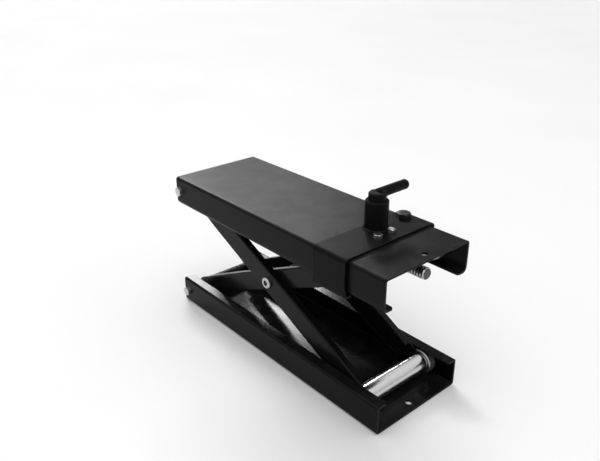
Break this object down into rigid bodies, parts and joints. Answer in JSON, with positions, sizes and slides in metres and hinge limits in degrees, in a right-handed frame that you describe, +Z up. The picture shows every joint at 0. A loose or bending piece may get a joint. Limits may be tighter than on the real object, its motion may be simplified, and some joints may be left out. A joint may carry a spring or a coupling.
{
  "type": "motorcycle scissor stand",
  "caption": "Low scissor stand for a motorcycle: lipped base and platform channels, crossed arms on rollers, lead screw, and a sliding saddle with a support post.",
  "frame": {"origin": "centre of the base channel's underside", "axes": "+X along the channels towards their open roller end, +Y across them, +Z up"},
  "size_m": [0.4453, 0.1638, 0.2691],
  "materials": {
    "black_coating": "satin black powder coat",
    "zinc_fastener": "bright zinc plate",
    "turned_steel": "fine turned",
    "bright_plating": "polished plate",
    "screw_steel": "rolled thread, lightly oiled",
    "bearing_steel": "ground",
    "roller_steel": "zinc plate, turned faces"
  },
  "bodies": {
    "base": {"base_channel": "black_coating", "base_hinge_bolt": "zinc_fastener", "base_hinge_nut": "zinc_fastener", "base_hinge_spacers": "turned_steel"},
    "inner_arms": {"inner_arm_near": "black_coating", "inner_arm_far": "black_coating", "inner_arm_tube": "black_coating", "centre_tube": "black_coating", "centre_bolt": "zinc_fastener", "centre_nut": "zinc_fastener", "centre_spacers": "turned_steel"},
    "outer_arms": {"outer_arm_near": "black_coating", "outer_arm_far": "black_coating", "lower_axle": "turned_steel", "lower_axle_sleeve": "bright_plating"},
    "lower_roller_near": {"lower_roller_near": "roller_steel"},
    "lower_roller_far": {"lower_roller_far": "roller_steel"},
    "trunnion": {"trunnion_nut": "turned_steel", "trunnion_spacers": "turned_steel", "upper_roller_spacers": "turned_steel"},
    "upper_roller_near": {"upper_roller_near": "roller_steel"},
    "upper_roller_far": {"upper_roller_far": "roller_steel"},
    "platform": {"platform_channel": "black_coating", "platform_hinge_bolts": "zinc_fastener", "platform_hinge_nuts": "zinc_fastener", "platform_hinge_spacers": "turned_steel", "thrust_bracket": "black_coating"},
    "screw": {"lead_screw": "screw_steel", "drive_hexagon": "zinc_fastener", "thrust_bearing": "bearing_steel", "screw_collar": "turned_steel"},
    "saddle": {"saddle": "black_coating", "socket_tube": "black_coating", "clamp_bolts": "zinc_fastener"},
    "lock_bolt": {"lock_bolt": "black_coating"},
    "support": {"support_rod": "black_coating", "support_bar": "black_coating"}
  },
  "joints": [
    {"name": "lift", "type": "hinge", "parent": "base", "child": "inner_arms", "pos_m": [-0.203, 0, 0.0205], "axis": [0, -1, 0], "range_deg": [-15.8, 35]},
    {"name": "arm_crossing", "type": "hinge", "parent": "inner_arms", "child": "outer_arms", "pos_m": [-0.01714, 0, 0.107], "axis": [0, -1, 0], "range_deg": [-70, 31.6]},
    {"name": "platform_hinge", "type": "hinge", "parent": "outer_arms", "child": "platform", "pos_m": [-0.203, 0, 0.1935], "axis": [0, -1, 0], "range_deg": [-15.8, 35]},
    {"name": "trunnion_pivot", "type": "hinge", "parent": "inner_arms", "child": "trunnion", "pos_m": [0.16871, 0, 0.1935], "axis": [0, -1, 0], "range_deg": [-35, 15.8]},
    {"name": "lower_roller_near_spin", "type": "hinge", "parent": "outer_arms", "child": "lower_roller_near", "pos_m": [0.16871, -0.0633, 0.0205], "axis": [0, 1, 0], "continuous": true},
    {"name": "lower_roller_far_spin", "type": "hinge", "parent": "outer_arms", "child": "lower_roller_far", "pos_m": [0.16871, 0.0633, 0.0205], "axis": [0, 1, 0], "continuous": true},
    {"name": "upper_roller_near_spin", "type": "hinge", "parent": "trunnion", "child": "upper_roller_near", "pos_m": [0.16871, -0.0633, 0.1935], "axis": [0, 1, 0], "continuous": true},
    {"name": "upper_roller_far_spin", "type": "hinge", "parent": "trunnion", "child": "upper_roller_far", "pos_m": [0.16871, 0.0633, 0.1935], "axis": [0, 1, 0], "continuous": true},
    {"name": "screw_turn", "type": "hinge", "parent": "platform", "child": "screw", "pos_m": [0, 0, 0.1935], "axis": [1, 0, 0], "continuous": true},
    {"name": "saddle_slide", "type": "slide", "parent": "platform", "child": "saddle", "axis": [1, 0, 0], "range_m": [-0.28, 0.045]},
    {"name": "lock_bolt_turn", "type": "hinge", "parent": "saddle", "child": "lock_bolt", "pos_m": [0.119, 0.0625, 0.2173], "axis": [0, 0, 1], "continuous": true},
    {"name": "support_turn", "type": "hinge", "parent": "saddle", "child": "support", "pos_m": [0.1185, 0.011, 0.2473], "axis": [0, 0, 1], "continuous": true}
  ],
  "couplings": [
    {"joint": "arm_crossing", "follows": "lift", "ratio": -2},
    {"joint": "platform_hinge", "follows": "lift", "ratio": 1},
    {"joint": "trunnion_pivot", "follows": "lift", "ratio": -1}
  ]
}
